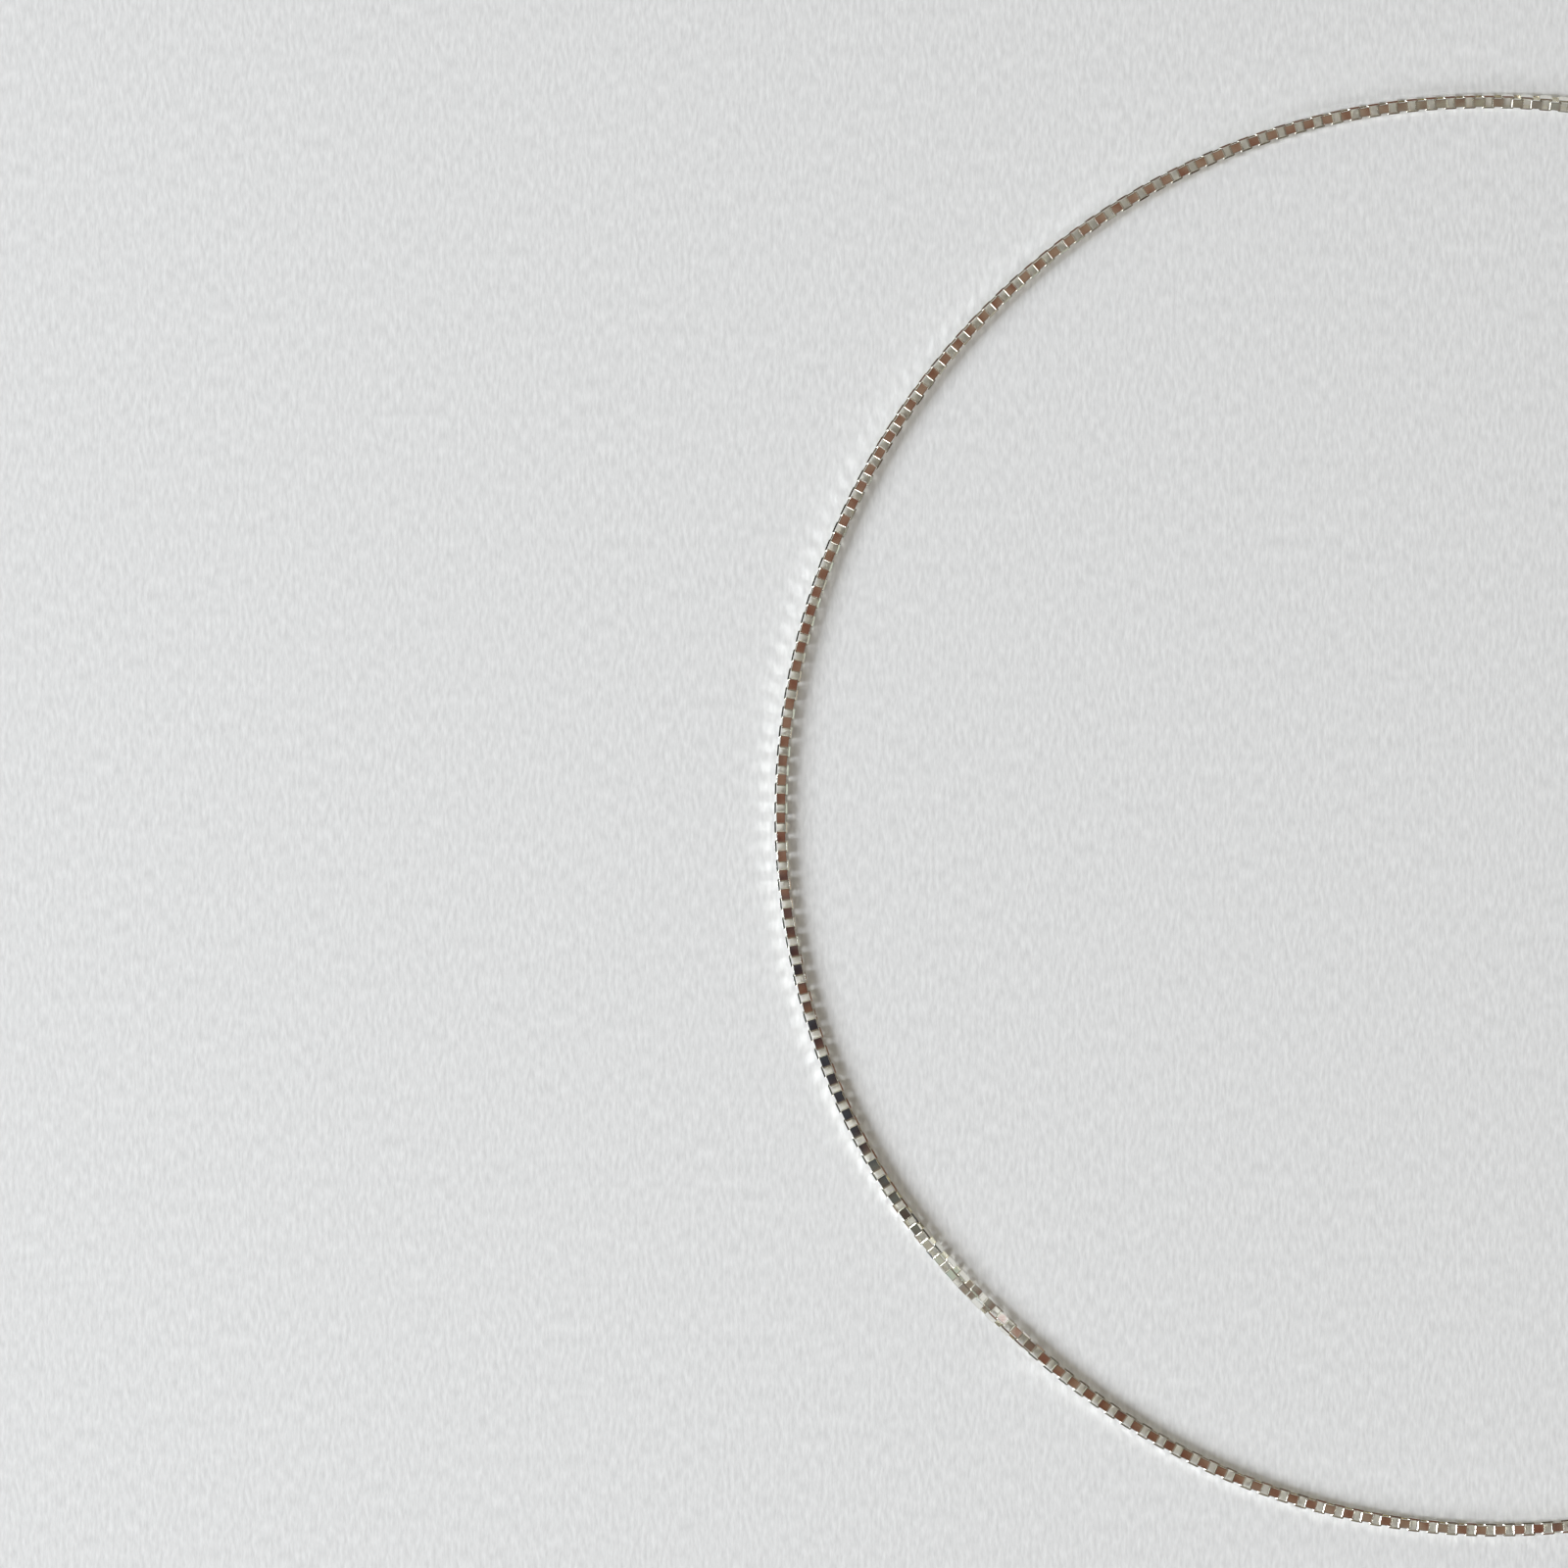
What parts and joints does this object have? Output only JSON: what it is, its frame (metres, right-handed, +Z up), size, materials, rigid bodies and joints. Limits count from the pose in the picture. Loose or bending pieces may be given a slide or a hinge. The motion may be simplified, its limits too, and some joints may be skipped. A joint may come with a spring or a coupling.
{
  "type": "box chain necklace",
  "caption": "Box chain necklace of square interlocking links, closed by a plain ring clasp and lying in one open loop on a flat surface.",
  "frame": {"origin": "middle of the loop's outline, on the surface that the chain lies on", "axes": "+Z up from that surface, +X towards the clasp, -X towards the middle of the front"},
  "size_m": [0.1456, 0.1433, 0.0015],
  "materials": {
    "chain_silver": "polished silver strip",
    "clasp_silver": "polished silver wire"
  },
  "bodies": {
    "root": {"chain_front": "chain_silver", "chain_back": "chain_silver", "clasp": "clasp_silver"}
  },
  "joints": []
}
